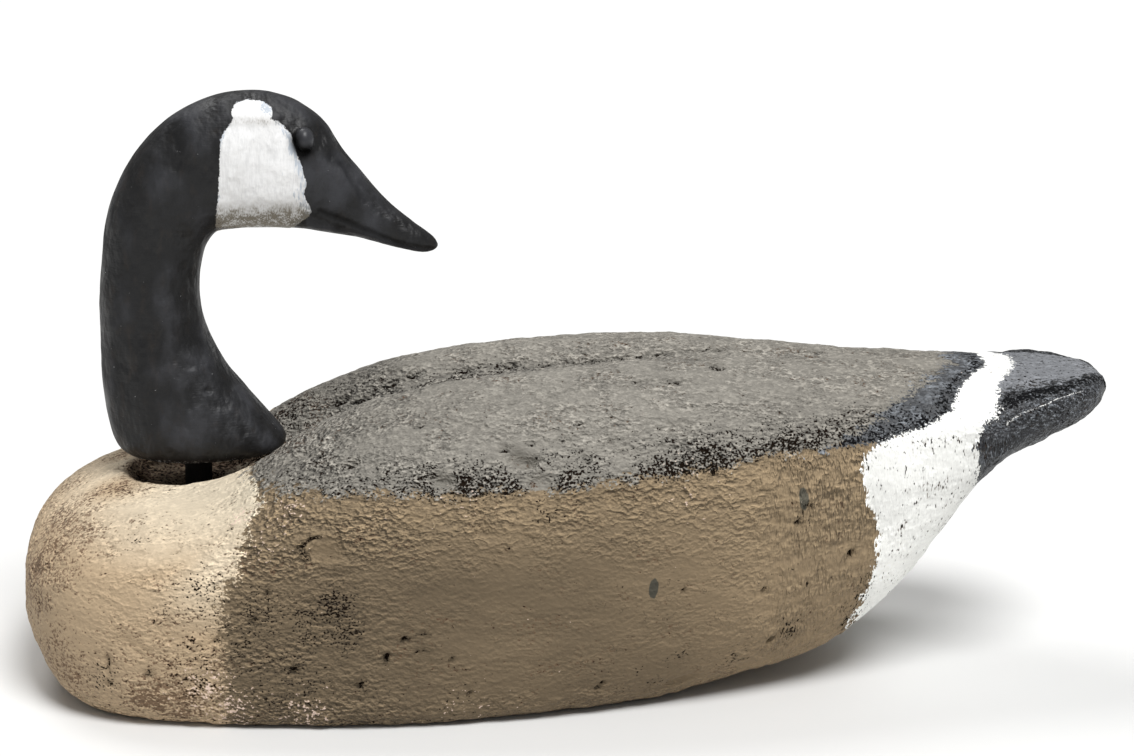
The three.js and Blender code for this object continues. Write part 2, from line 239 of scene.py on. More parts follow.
# Two dabs of slate paint on the brown side
PAINT_DABS = [
    # along, across, up, half length, half width, turn
    (43.9, -124.1, 77.7, 6.4, 2.6, 88), (128.6, -103.5, 123.1, 6.4, 2.6, 96),
]

# The white cheek, seen from the side
CHEEK_OUTLINE = [
    # along, up
    (-188.9, 325), (-190.4, 328.2), (-188, 332), (-182.4, 334), (-176.8, 334.2), (-171.5, 332.6),
    (-167.5, 330), (-166.6, 326.2), (-168, 324.2), (-164, 322.8), (-160.2, 320), (-156.3, 315.5),
    (-154.7, 309.3), (-153.2, 304.2), (-150.5, 297.3), (-148, 287.9), (-149.6, 281.5),
    (-147.7, 275.4), (-145.6, 270.3), (-149.5, 266.5), (-154.5, 262), (-160.2, 257),
    (-186, 256), (-201, 256), (-200.2, 269.5), (-197.9, 280.7), (-197.3, 295.4),
    (-196.6, 305.1), (-195.8, 312.8), (-193.4, 318.2), (-190.2, 322),
]
# The eyes: along, across and up, and half their length, height and depth
EYE_MIDDLE = (-149.2, 19.4, 312.2)
EYE_SIZE = (5.7, 7.3, 7.4)

# Hollows and rises of the head and neck
HEAD_SCARS = [
    # along, across, up, half length, half width, turn, depth
    (-128.4, 0, 304, 3, 16, 40, 0.9), (-207.6, -25.7, 167.1, 3, 2.2, 0, 1.8),
    (-214.8, -24.7, 177.7, 3.4, 3, 0, -0.9), (-133, -14, 300, 7, 5, -50, 1.0),
    (-192, -20, 215, 30, 12, 60, 0.8), (-178, -30, 146, 22, 7, -25, 0.7),
]
# Grooves of the bill and brow: half width, depth, and places
HEAD_CRACKS = [
    (2.4, 0.8, [(-141, -17, 270.5), (-135.8, -16.5, 267.5), (-119, -12.5, 259.4),
                (-96.4, -8.9, 248.5), (-79.2, -5.2, 244.5)]),
    (2.6, 0.7, [(-128, -12.3, 297), (-123, -12.6, 287.5), (-115.9, -13.2, 275)]),
    (2.4, 0.6, [(-118, -10, 286), (-108, -9.6, 276), (-100, -9, 268)]),
]
# Painted highlights: soft pale sheen laid on the black of the neck, crown, face and bill, and dull brown
# wear on it
HIGHLIGHT_PLACES = [
    (-205, -30, 190, 26, 0.7), (-190, -30, 160, 26, 0.55), (-212, -32, 150, 22, 0.45),
    (-205, 0, 326, 30, 0.5), (-165, 0, 334, 34, 0.5), (-120, 0, 296, 26, 0.7),
    (-160, -26, 152, 14, 0.6), (-138, -18, 290, 18, 0.8), (-110, -10, 270, 16, 0.7),
    (-170, -30, 135, 20, 0.6),
]
# Wood showing brown through thin paint
THIN_PLACES = [
    (-270, 0, 200, 40, 0.6), (-268, -10, 150, 30, 0.5), (-252, 0, 290, 34, 0.45),
    (-77, 0, 243, 10, 0.5),
]


def linear(hex_colour):
    """An sRGB hex colour as linear red, green, blue and alpha."""
    shares = [int(hex_colour[i:i + 2], 16) / 255 for i in (1, 3, 5)]
    return [s / 12.92 if s <= 0.04045 else ((s + 0.055) / 1.055) ** 2.4 for s in shares] + [1.0]


def paint_colour(name, description, hex_colour):
    return bpy.props.FloatVectorProperty(
        name=name, description=description, default=linear(hex_colour),
        subtype="COLOR", size=4, min=0, max=1,
    )


def length(name, description, millimetres):
    return bpy.props.FloatProperty(
        name=name, description=description, default=millimetres * MM,
        min=0, precision=4, subtype="DISTANCE", unit="LENGTH",
    )


class DecoyBodyFinish(bpy.types.PropertyGroup):
    """Sizes and paints of the cork body"""

    mesh_step: length("Mesh step", "Size of the faces that the body is shaped in", 2.4)
    lump_size: length("Lump size", "Width of the lumps that the rasp left", 62)
    lump_height: length("Lump height", "Height of those lumps", 2.4)
    dent_size: length("Dent size", "Width of the small dents of the filler", 14)
    dent_depth: length("Dent depth", "Depth of those dents", 2.2)
    stipple_size: length("Stipple size", "Width of the paint's larger stipple", 6)
    stipple_depth: length("Stipple depth", "Depth of that stipple where it is roughest", 2.2)
    crumb_size: length("Crumb size", "Width of the cork's crumbs", 2.0)
    crumb_height: length("Crumb height", "Height of the crumbs under the paint", 0.8)
    brown: paint_colour("Side brown", "Paint of the sides", "#806f57")
    tan: paint_colour("Breast tan", "Paint of the breast", "#b09a7d")
    # Paler cream on top of the breast: partly its paint, partly a painted highlight of the top light
    cream: paint_colour("Breast cream", "Cleaner paint on top of the breast", "#e6dac3")
    grey: paint_colour("Back grey", "Paint of the back", "#837f77")
    slate: paint_colour("Rump slate", "Paint of the rump", "#434548")
    dab: paint_colour("Dab grey", "Two dabs on the brown side", "#49463c")
    # Painted highlight: a pale bluish sheen laid on the high spots of the rump and of the tail's sides
    sheen: paint_colour("Slate sheen", "Worn high spots of the rump and tail", "#8f949a")
    white: paint_colour("Stern white", "Paint of the stern", "#f6f6f2")
    tail: paint_colour("Tail black", "Paint of the tail's sides", "#222326")
    # Slate on the tail's top: a paint of its own, and partly a painted highlight where the top light
    # falls
    tail_top: paint_colour("Tail slate", "Paint of the tail's top", "#737579")
    pit: paint_colour("Pit black", "Bare dark cork in the pits", "#1c140d")
    soot: paint_colour("Tail pits", "Low spots of the rump and tail, full of black paint", "#0d0e10")
    soil: paint_colour("Soil brown", "Dirt rubbed into the breast", "#644b36")
    crumb: paint_colour("Bare crumb", "Pale crumbs of bare cork", "#e2c9b8")


class DecoyHeadFinish(bpy.types.PropertyGroup):
    """Sizes and paints of the head and neck"""

    mesh_step: length("Mesh step", "Size of the faces that the head is shaped in", 1.15)
    paint_thickness: length("Cheek thickness", "How far the cheek's paint stands up", 0.4)
    black: paint_colour("Head black", "Paint of the head and neck", "#161617")
    # Painted highlights laid on the black
    bloom: paint_colour("Highlight", "Chalky bloom on the black", "#46474c")
    wood: paint_colour("Thin paint", "Brown wood through thin black paint", "#43372c")
    white: paint_colour("Cheek white", "Paint of the cheek", "#f8f8f8")
    blue: paint_colour("Thin white", "Black showing through thin white", "#b4bfcc")
    stain: paint_colour("Cheek stain", "Dirt low on the cheek", "#685f4c")


class DecoyPostFinish(bpy.types.PropertyGroup):
    """Paint of the neck's dowel"""

    sides: bpy.props.IntProperty(name="Sides", description="Sides of the dowel", default=64, min=12)
    chamfer: length("Chamfer", "Bevel at each end", 1.5)
    black: paint_colour("Dowel black", "Stain of the dowel", "#0b0a09")


class DecoyStage(bpy.types.PropertyGroup):
    """Camera, light and floor"""

    lens: bpy.props.FloatProperty(
        name="Lens", description="Focal length of the camera", default=92.64, min=1,
        subtype="DISTANCE_CAMERA",
    )
    floor_radius: length("Floor radius", "How far the floor reaches", 7000)
    floor: paint_colour("Floor", "Colour of the floor", "#e2e2e1")
    sky: bpy.props.FloatProperty(
        name="Sky", description="Strength of the light from all round", default=0.28, min=0,
    )
    softness: bpy.props.FloatProperty(
        name="Softness", description="Angle that each lamp fills, for soft shadows",
        default=math.radians(26), min=0, subtype="ANGLE",
    )


def lone(piece):
    """Selects one piece alone and makes it active."""
    bpy.ops.object.select_all(action="DESELECT")
    piece.select_set(True)
    bpy.context.view_layer.objects.active = piece


def modify(piece, kind, **settings):
    """Adds a modifier to the active piece and applies it."""
    modifier = piece.modifiers.new(kind.title(), kind)
    for name, value in settings.items():
        setattr(modifier, name, value)
    bpy.ops.object.modifier_apply(modifier=modifier.name)


def piece_from(node, name):
    """A piece of its own, shaped as a CAD node, with its loose triangles merged."""
    lone(frame["nodes"][node])
    bpy.ops.object.duplicate()
    piece = bpy.context.object
    bpy.ops.object.parent_clear(type="CLEAR_KEEP_TRANSFORM")
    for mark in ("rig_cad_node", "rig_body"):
        del piece[mark]
    piece.name = piece.data.name = name
    piece.data.materials.clear()
    bpy.ops.object.mode_set(mode="EDIT")
    bpy.ops.mesh.select_all(action="SELECT")
    bpy.ops.mesh.remove_doubles(threshold=0.01 * MM)
    bpy.ops.mesh.tris_convert_to_quads()
    bpy.ops.object.mode_set(mode="OBJECT")
    bpy.ops.mesh.customdata_custom_splitnormals_clear()
    return piece


def even_skin(piece, step, passes):
    """Rounds the active piece's facets, and gives it an even mesh."""
    modify(piece, "SUBSURF", levels=2, render_levels=2)
    modify(piece, "REMESH", mode="VOXEL", voxel_size=step, use_smooth_shade=True)
    modify(piece, "SMOOTH", factor=0.5, iterations=passes)


def points_of(piece):
    """The piece's points and normals, the points in millimetres."""
    count = len(piece.data.vertices)
    points, normals = np.empty(count * 3), np.empty(count * 3)
    piece.data.vertices.foreach_get("co", points)
    piece.data.vertex_normals.foreach_get("vector", normals)
    return points.reshape(-1, 3) / MM, normals.reshape(-1, 3)


def put_points(piece, points):
    """Moves the piece's points, and keeps them in the box that the CAD gives the decoy."""
    low, high = (np.array(corner) for corner in cad_box)
    piece.data.vertices.foreach_set("co", np.clip(points * MM, low, high).ravel())
    piece.data.update()


def keep(piece, values):
    """Stores named numbers for each point, for the material to read."""
    for name, numbers in values.items():
        attribute = piece.data.attributes.new(name, "FLOAT", "POINT")
        attribute.data.foreach_set("value", numbers.astype(np.float32))


def weigh(piece, name, weights):
    """A vertex group with one weight for each point."""
    group = piece.vertex_groups.new(name=name)
    for index in np.nonzero(weights > 0.004)[0]:
        group.add([int(index)], float(weights[index]), "REPLACE")


def displace(piece, kind, size, depth, stretch=1, group="", **settings):
    """Displaces the active piece by a texture whose pattern is of one size, longer by stretch
    along the body."""
    texture = bpy.data.textures.new(kind.title(), kind)
    texture.noise_scale = size
    for name, value in settings.items():
        setattr(texture, name, value)
    bpy.ops.object.empty_add()
    ruler = bpy.context.object
    ruler.scale.x = stretch
    bpy.context.view_layer.update()
    lone(piece)
    modify(
        piece, "DISPLACE", texture=texture, strength=depth, texture_coords="OBJECT",
        texture_coords_object=ruler, vertex_group=group,
    )
    bpy.data.objects.remove(ruler)
    bpy.data.textures.remove(texture)


def ovals(points, rows):
    """For each row, how far each point lies from its oval's middle: 1 is the oval's edge."""
    for along, across, up, half_length, half_width, turn, *rest in rows:
        offset = points - (along, across, up)
        turn = math.radians(turn)
        length_wise = offset @ (math.cos(turn), 0, math.sin(turn))
        side_wise = np.sqrt(np.maximum((offset ** 2).sum(1) - length_wise ** 2, 0))
        yield np.hypot(length_wise / half_length, side_wise / half_width), rest


def distance_to_path(points, path):
    """Distance of each point from a bent line through places."""
    corners = np.array(path, float)
    nearest = np.full(len(points), np.inf)
    for start, end in zip(corners, corners[1:]):
        way = end - start
        foot = np.clip((points - start) @ way / (way @ way), 0, 1)
        nearest = np.minimum(nearest, np.linalg.norm(points - start - foot[:, None] * way, axis=1))
    return nearest


def scar(points, normals, rows, cracks):
    """The points with each row's hollow and each crack sunk into them, and the depths."""
    depth = np.zeros(len(points))
    reaches = [(reach, deepest) for reach, (deepest,) in ovals(points, rows)]
    reaches += [
        (distance_to_path(points, path) / half_width, deepest)
        for half_width, deepest, path in cracks
    ]
    for reach, deepest in reaches:
        profile = np.clip(1.25 - reach, 0, 1)
        depth += deepest * profile * profile * (3 - 2 * profile)
    return points - normals * depth[:, None], depth


def distance_to_outline(along, up, outline):
    """Distance from an outline in the side view, above nothing inside it."""
    corners = np.array(outline, float)
    nearest = np.full(len(along), np.inf)
    inside = np.zeros(len(along), bool)
    for (x0, z0), (x1, z1) in zip(corners, np.roll(corners, -1, axis=0)):
        dx, dz = x1 - x0, z1 - z0
        foot = np.clip(((along - x0) * dx + (up - z0) * dz) / (dx * dx + dz * dz), 0, 1)
        nearest = np.minimum(nearest, np.hypot(along - x0 - foot * dx, up - z0 - foot * dz))
        crosses = (z0 > up) != (z1 > up)
        inside ^= crosses & (along < x0 + (up - z0) / np.where(dz == 0, 1, dz) * dx)
    return np.where(inside, nearest, -nearest)


def along_line(rows, place):
    """The value of a line's rows at each place."""
    places, values = zip(*rows)
    return np.interp(place, places, values)


def soft_step(values, width):
    """From 0 to 1 as values pass nothing, over a width."""
    return np.clip(values / width + 0.5, 0, 1)


def bell(values, width):
    """1 where values are nothing, and falling off over a width."""
    return np.exp(-(values / width) ** 2)


def spots(points, rows):
    """The strongest of some soft round places at each point."""
    strongest = np.zeros(len(points))
    for x, y, z, radius, amount in rows:
        for side, part in ((1, 1), (-1, 0.75)):
            distance = np.linalg.norm(points - (x, y * side, z), axis=1)
            strongest = np.maximum(strongest, amount * part * bell(distance, radius))
    return strongest


def paint_lines(points):
    """How far each point is past each of the body's paint lines."""
    along, across, up = points.T
    out = np.abs(across)
    girth = np.where(across > 0, np.maximum(across - FAR_START, 0), out)
    girth = girth + np.maximum(BACK_HEIGHT - up, 0)
    turn = np.degrees(np.arctan2(up - WAIST_HEIGHT, out))
    hollow = np.minimum(HOLLOW_HALF_WIDTH - out, along - HOLLOW_FRONT)
    scratched = (up > TAIL_SHOULDER) & (along > SCRATCH_LINE[0][0]) & (along < SCRATCH_LINE[-1][0])
    return {
        "breast": along_line(BREAST_LINE, turn) - along,
        "back": np.maximum(up - along_line(BACK_LINE, along), np.where(up > 100, hollow, -99)),
        "rump": along - along_line(RUMP_LINE, girth),
        "stern": along - along_line(STERN_LINE, girth),
        "tail": along - along_line(TAIL_LINE, girth),
        "tail_top": np.minimum(along_line(TAIL_TOP_LINE, along) - out, up - TAIL_SHOULDER),
        "scratch": np.where(scratched, out - along_line(SCRATCH_LINE, along), 99),
    }


def wear_maps(points, lines):
    """Where the body is rough, pitted, bare, dirty, cream-topped or brushed upright, from 0 to 1, and its
    tone, which also holds painted light and shade.
    """
    along, across, up = points.T
    breast, back = soft_step(lines["breast"], 8), soft_step(lines["back"], 8)
    slate = soft_step(lines["rump"], 10) * back
    white, tail = soft_step(lines["stern"], 5), soft_step(lines["tail"], 5)
    before_white = 1 - white
    dish = soft_step(DISH_RADIUS - np.hypot(along - DISH_ALONG, across), 5) * (up < DISH_RIM + 3)
    dish = dish * (up > 90) * soft_step(DISH_RIM - up, 6)

    rough = 0.28 + 1.0 * bell(lines["back"] + 12, 22) + 0.5 * soft_step(-110 - along, 50)
    rough = rough + 0.62 * soft_step(along - 95, 40)
    front = soft_step(-70 - along, 120)
    for mask, amount in (
        (breast, 0.48), (back, 1.1 + 0.45 * front), (slate, 1.1), (white, 0.25), (tail, 1.1),
    ):
        rough = rough + (amount - rough) * mask
    top, band = soft_step(lines["tail_top"], 6), white * soft_step(up - 156, 8)
    rough = rough - 0.2 * tail * top - 0.2 * band
    rough = rough + 0.5 * soft_step(14 - up, 14)
    smooth = spots(points, SMOOTH_PLACES)
    rough = rough * (1 - 0.8 * smooth)

    # Folds of thick paint, most of them under the grey
    folded = 0.2 + 1.15 * bell(lines["back"] + 14, 20) + 0.6 * soft_step(along - 95, 40)
    for mask, amount in ((breast, 0.5), (back, 0.45), (white, 0.1), (tail, 0.2)):
        folded = folded + (amount - folded) * mask
    folded = folded * (1 - smooth)

    pits = 0.06 + 0.08 * back + 0.24 * white + 0.1 * tail
    seam = along_line(SEAM_GRAINS, along) * np.where(
        lines["back"] > 2, bell(lines["back"] - 2, 17), bell(lines["back"] - 2, 6))
    seam = seam * before_white * (along > -178) * (np.abs(across) > HOLLOW_HALF_WIDTH)
    pits = np.maximum(pits, seam * (1 - 0.9 * smooth))
    middle = bell(across - 3, 17) * np.clip((50 - along) / 90, 0, 1) * (up > 118)
    pits = np.maximum(pits, 0.78 * middle * (along > -185))
    pits = np.maximum(pits, 0.3 * slate * before_white)
    below = soft_step(162 - up, 20)
    pits = np.maximum(pits, (0.5 + 0.4 * below) * bell(lines["rump"] - 3, 8) * back * before_white)
    pits = np.maximum(pits, bell(lines["stern"] + 6, 6 + 3 * below) * slate)
    pits = np.maximum(pits, 0.75 * bell(lines["stern"] + 2, 5) * soft_step(78 - up, 20))
    pits = np.maximum(pits, 1.15 * bell(lines["tail_top"] + 8, 9) * tail * (up > TAIL_SHOULDER - 8))
    pits = pits - 0.2 * band * (1 - tail)
    pits = np.maximum(pits, 0.42 * tail * top)
    pits = np.maximum(pits, 0.35 * white * (1 - band) * (1 - tail) * soft_step(up - 112, 20))
    # Pits crowd along the bottom edge, partly a painted dark line where the body meets the floor
    pits = np.maximum(pits, 0.6 * bell(up, 8))
    pits = np.maximum(pits, spots(points, PIT_PLACES))
    pits = np.maximum(pits, 0.75 * dish)

    low = np.clip(1 - up / 60, 0, 1)
    soil = np.maximum(spots(points, SOIL_PLACES), dish)
    soil = np.maximum(soil, 0.35 * breast * low) * np.maximum(breast, 0.8 * back)
    # Cream on top of the breast and near its line: partly the paint, partly painted light from above
    cream = soft_step(up - 107, 38) * (1 - soil)
    cream = np.maximum(cream, 0.5 * bell(lines["breast"] - 8, 22) * soft_step(up - 76, 40))

    brown = (1 - breast) * (1 - back) * before_white
    rear = soft_step(along - 60, 100)
    # Painted shade: darker in the dish under the neck and along the hollow of the back. The breast is a
    # little darker low down
    tone = 1 - 0.06 * breast * soft_step(60 - up, 80) - 0.5 * dish - 0.2 * middle
    # Painted shade: the stern's white is dimmed high up, where the top light falls brightest
    tone = tone - 0.12 * white * (1 - band) * (1 - tail) * soft_step(up - 112, 20)
    # The brown is paler high and darker low towards the front: partly its paint, partly painted light and
    # shade from above. Its rear is much paler, a painted light where it faces the lamps
    tone = tone + brown * (0.06 * soft_step(up - 112, 30) - 0.3 * soft_step(105 - up, 40) * (1 - rear))
    tone = tone + brown * (0.32 * soft_step(along - 90, 90) - 0.04 * soft_step(-125 - along, 50))
    tone = tone + 0.06 * band
    upright = soft_step(along - 105, 30) * (1 - back)
    return {
        "rough": rough, "pits": pits, "soil": soil, "cream": cream, "tone": tone, "folded": folded,
        "bare": np.maximum(spots(points, BARE_PLACES), 0.45 * bell(up, 5)),
        "upright": upright + white * (1 - tail) * soft_step(150 - up, 20),
        "spiked": bell(lines["stern"], 10) * back * soft_step(158 - up, 14),
        "cracked": brown * (0.25 + 0.6 * soft_step(along - 20, 80)) * (1 - bell(lines["back"], 22)),
    }


def connect(tree, node, sockets):
    """Sets or links input sockets of a shader node."""
    for name, value in sockets.items():
        if isinstance(value, bpy.types.NodeSocket):
            tree.links.new(value, node.inputs[name])
        else:
            node.inputs[name].default_value = value


def add(tree, kind, sockets=None, out=0, **settings):
    """Adds a shader node with its settings and links, and returns one of its outputs."""
    node = tree.nodes.new("ShaderNode" + kind)
    for name, value in settings.items():
        setattr(node, name, value)
    connect(tree, node, sockets or {})
    return node.outputs[out]


def new_material(name):
    """A material, a maker of its nodes, and a way to its skin's sockets."""
    material = bpy.data.materials.new(name)
    material.use_nodes = True
    tree = material.node_tree
    skin = functools.partial(connect, tree, tree.nodes["Principled BSDF"])
    return material, functools.partial(add, tree), skin


def grain(node, place, size, stretch=(1, 1, 1), shift=0.0, detail=3.0):
    """A pattern of one size in metres, from about -1 to 1, longer by stretch along x, y and z.
    Shift takes it off the other patterns."""
    scaled = node("Mapping", {
        "Vector": place, "Location": (shift, shift, shift), "Scale": [1 / (size * s) for s in stretch],
    })
    noise = node("TexNoise", {
        "Vector": scaled, "Scale": 1.0, "Detail": detail, "Roughness": 0.5,
    })
    return node("MapRange", {
        "Value": noise, "From Min": 0.38, "From Max": 0.62, "To Min": -1.0, "To Max": 1.0,
    }, clamp=False)


def flecks(node, pattern, cover, sparse, dense, soft=0.12):
    """A mask of the pattern's high spots: few where cover is 0, many where it is 1."""
    bar = node("MapRange", {"Value": cover, "To Min": sparse, "To Max": dense}, clamp=False)
    over = node("Math", {0: pattern, 1: bar}, operation="SUBTRACT")
    return node("MapRange", {
        "Value": over, "From Min": -soft, "From Max": soft,
    }, interpolation_type="SMOOTHSTEP")


def creases(node, pattern, width):
    """A mask of thin lines, where a pattern passes nothing."""
    return node("MapRange", {
        "Value": node("Math", {0: pattern}, operation="ABSOLUTE"),
        "From Min": 0.0, "From Max": width, "To Min": 1.0, "To Max": 0.0,
    }, interpolation_type="SMOOTHSTEP")


def ragged(node, line, pushes, soft):
    """A mask of what lies past a line, which patterns push to and fro by so many mm each."""
    for pattern, push in pushes:
        line = node("Math", {0: pattern, 1: push, 2: line}, operation="MULTIPLY_ADD")
    return node("MapRange", {
        "Value": line, "From Min": -soft, "From Max": soft,
    }, interpolation_type="SMOOTHSTEP")


def layer(node, colour, paints):
    """Lays paints over a colour, each by its mask."""
    for mask, paint in paints:
        colour = node("Mix", {
            FACTOR: mask, BELOW: colour, ABOVE: paint,
        }, out=MIXED, data_type="RGBA")
    return colour


def cork_paint(finish):
    """House paint brushed and daubed on pressed cork: a matt skin that bridges the cork's
    crumbs, broken by black pits where crumbs fell out."""
    material, node, skin = new_material("worn_paint_on_pressed_cork")
    place = node("TexCoord", out="Object")
    read = {
        name: node("Attribute", attribute_name=name, out="Fac")
        for name in (
            "breast", "back", "rump", "stern", "tail", "tail_top", "scratch", "hollow", "dab",
            "rough", "folded", "pits", "soil", "cream", "tone", "bare", "upright", "spiked",
            "cracked",
        )
    }
    size = finish.crumb_size
    worked = grain(node, place, size * 8, (1.8, 1.4, 1), 71.3, 2.0)
    patches = grain(node, place, 42 * MM, (1.6, 1, 1), 23.7)
    spikes = grain(node, place, size * 0.6, (1, 1, 5), 47.0)

    def pattern(at, scale, long, shift, detail=1.0):
        """A grain that runs along the body, or upright where the brush did."""
        return node("Mix", {
            FACTOR: read["upright"],
            FIRST: grain(node, at, size * scale, (long, 1.3, 1), shift, detail),
            SECOND: grain(node, at, size * scale, (0.8, 1, 2.1 * long), shift + 7.3, detail),
        })

    # The brush left some patches smoother than others
    brushed = node("MapRange", {
        "Value": worked, "From Min": -0.9, "From Max": 0.9, "To Min": 0.5, "To Max": 1.25,
    })
    brushed = node("Math", {0: brushed, 1: read["rough"]}, operation="MULTIPLY")

    def relief(at):
        """Crumbs, clumps of them, and both with the folds of thick paint, as height."""
        crumbs, folds = pattern(at, 1.0, 1.5, 0.0), pattern(at, 3.0, 1.7, 17.1)
        clumps = grain(node, at, size * 2.8, (1.8, 1.4, 1), 3.1, 2.0)
        some = node("MapRange", {"Value": clumps, "From Min": -0.6, "From Max": 0.6})
        fold = node("Math", {0: creases(node, folds, 0.8), 1: some}, operation="MULTIPLY")
        fold = node("Math", {0: fold, 1: read["folded"]}, operation="MULTIPLY")
        small = node("Math", {0: crumbs, 1: 0.55}, operation="MULTIPLY")
        height = node("Math", {0: clumps, 1: 0.42, 2: small}, operation="MULTIPLY_ADD")
        height = node("Math", {0: height, 1: brushed}, operation="MULTIPLY")
        height = node("Math", {0: fold, 1: 1.0, 2: height}, operation="MULTIPLY_ADD")
        return crumbs, clumps, height

    crumbs, clumps, shade = relief(place)
    # Painted light and shade: the relief here less the relief a little higher up, paler where the surface
    # faces up to the top light and darker where it faces down
    higher = node("VectorMath", {0: place, 1: (0, 0, 0.35 * size)}, operation="ADD")
    *_, shade_above = relief(higher)
    rise = node("Math", {0: shade, 1: shade_above}, operation="SUBTRACT")
    lower_side = node("Math", {0: rise, 1: 0.15}, operation="MULTIPLY")
    upper_side = node("Math", {0: rise, 1: 0.65}, operation="MULTIPLY")
    painted_light_and_shade = node("Math", {0: upper_side, 1: lower_side}, operation="MAXIMUM")
    specks, dust = pattern(place, 0.58, 1.15, 31.9), pattern(place, 0.4, 1.3, 83.0)
    hairs = pattern(place, 4.5, 0.8, 57.5, 2.0)

    # Where each paint begins, and how far crumbs and clumps push its edge
    breast = ragged(node, read["breast"], [(dust, 1.5), (specks, 1.5), (crumbs, 2.2), (clumps, 2.5)], 1.0)
    back = ragged(node, read["back"], [(dust, 0.8), (specks, 0.8), (crumbs, 1.2), (clumps, 1.6)], 0.8)
    rump = ragged(node, read["rump"], [(dust, 1.5), (specks, 2.0), (crumbs, 2.5), (clumps, 4.0)], 1.0)
    teeth = node("Math", {0: spikes, 1: read["spiked"]}, operation="MULTIPLY")
    stern = ragged(node, read["stern"], [(teeth, 5.0), (dust, 0.6), (crumbs, 1.0), (clumps, 0.8)], 0.4)
    tail = ragged(node, read["tail"], [(dust, 0.8), (specks, 1.0), (crumbs, 1.2), (clumps, 1.0)], 0.4)
    above = ragged(node, read["tail_top"], [(specks, 2.0), (crumbs, 2.5), (clumps, 2.5)], 1.2)
    slate = node("Math", {0: rump, 1: back}, operation="MULTIPLY")
    cream_and_top_light = node("Math", {0: breast, 1: read["cream"]}, operation="MULTIPLY")
    dab = node("MapRange", {"Value": read["dab"], "From Min": -0.08, "From Max": 0.08})

    # Painted highlights: a bluish sheen laid on the slate's high spots, on the tail's sides in finer ones
    sheen_relief = node("Math", {0: worked, 1: 0.8, 2: clumps}, operation="MULTIPLY_ADD")
    sheen_relief = node("Math", {0: crumbs, 1: 0.4, 2: sheen_relief}, operation="MULTIPLY_ADD")
    high = node("MapRange", {
        "Value": sheen_relief, "From Min": -0.8, "From Max": 2.4, "To Max": 0.6,
    }, interpolation_type="SMOOTHSTEP")
    grated = node("Math", {0: crumbs, 1: 0.6, 2: dust}, operation="MULTIPLY_ADD")
    fine_high = node("MapRange", {
        "Value": grated, "From Min": -0.4, "From Max": 2.2, "To Max": 0.45,
    }, interpolation_type="SMOOTHSTEP")
    rump_paint = layer(node, finish.slate, [(high, finish.sheen)])
    # The tail's slate top is partly a painted highlight of the top light
    tail_paint = layer(node, finish.tail, [(fine_high, finish.sheen), (above, finish.tail_top)])
    colour = layer(node, finish.brown, [
        (breast, finish.tan), (cream_and_top_light, finish.cream), (back, finish.grey), (slate, rump_paint),
        (stern, finish.white), (tail, tail_paint), (dab, finish.dab),
    ])

    # Pits gather in clumps and keep to the low spots between crumbs, pale crumbs to the high
    clumped = node("Math", {0: clumps, 1: 0.4, 2: specks}, operation="MULTIPLY_ADD")
    clumped = node("Math", {0: worked, 1: 0.15, 2: clumped}, operation="MULTIPLY_ADD")
    sunk = node("Math", {0: crumbs, 1: -0.4, 2: clumped}, operation="MULTIPLY_ADD")
    risen = node("Math", {0: specks, 1: -1.0, 2: crumbs}, operation="MULTIPLY_ADD")
    low = node("Math", {0: crumbs, 1: -0.8, 2: clumped}, operation="MULTIPLY_ADD")
    low = node("Math", {0: worked, 1: 0.6, 2: low}, operation="MULTIPLY_ADD")
    pits = flecks(node, sunk, read["pits"], 3.2, 0.1, soft=0.3)
    grime = flecks(node, sunk, read["pits"], 2.6, -0.8, soft=1.0)
    soil = flecks(node, low, read["soil"], 2.8, -0.5, soft=1.0)
    bare = flecks(node, risen, read["bare"], 4.2, 0.4, soft=0.4)
    broken = node("Math", {0: sunk, 1: 0.9, 2: read["hollow"]}, operation="MULTIPLY_ADD")
    hole = node("MapRange", {
        "Value": broken, "From Min": 2.1, "From Max": 3.1,
    }, interpolation_type="SMOOTHSTEP")
    black = node("Math", {0: pits, 1: hole}, operation="MAXIMUM")
    crazed = flecks(node, clumps, read["cracked"], 2.2, 0.2, soft=0.3)
    crack = node("Math", {0: creases(node, hairs, 0.05), 1: crazed}, operation="MULTIPLY")
    scratch = node("Math", {
        0: creases(node, read["scratch"], 0.7),
        1: node("MapRange", {"Value": specks, "From Min": -0.2, "From Max": 0.3}),
    }, operation="MULTIPLY")

    # Painted light on the upper sides of crumbs and folds, painted shade on their lower sides and in the
    # low spots between crumbs; fine pale dust all over, and grime round the pits. Each paint also changes
    # slowly by patches.
    dusty = node("Math", {0: dust, 1: brushed}, operation="MULTIPLY")
    tone = node("Math", {0: painted_light_and_shade, 1: read["tone"]}, operation="ADD")
    tone = node("Math", {0: shade, 1: 0.08, 2: tone}, operation="MULTIPLY_ADD")
    tone = node("Math", {0: dusty, 1: 0.07, 2: tone}, operation="MULTIPLY_ADD")
    tone = node("Math", {0: patches, 1: 0.06, 2: tone}, operation="MULTIPLY_ADD")
    grimy = node("MapRange", {"Value": back, "To Min": -0.24, "To Max": -0.42})
    tone = node("Math", {0: grime, 1: grimy, 2: tone}, operation="MULTIPLY_ADD")
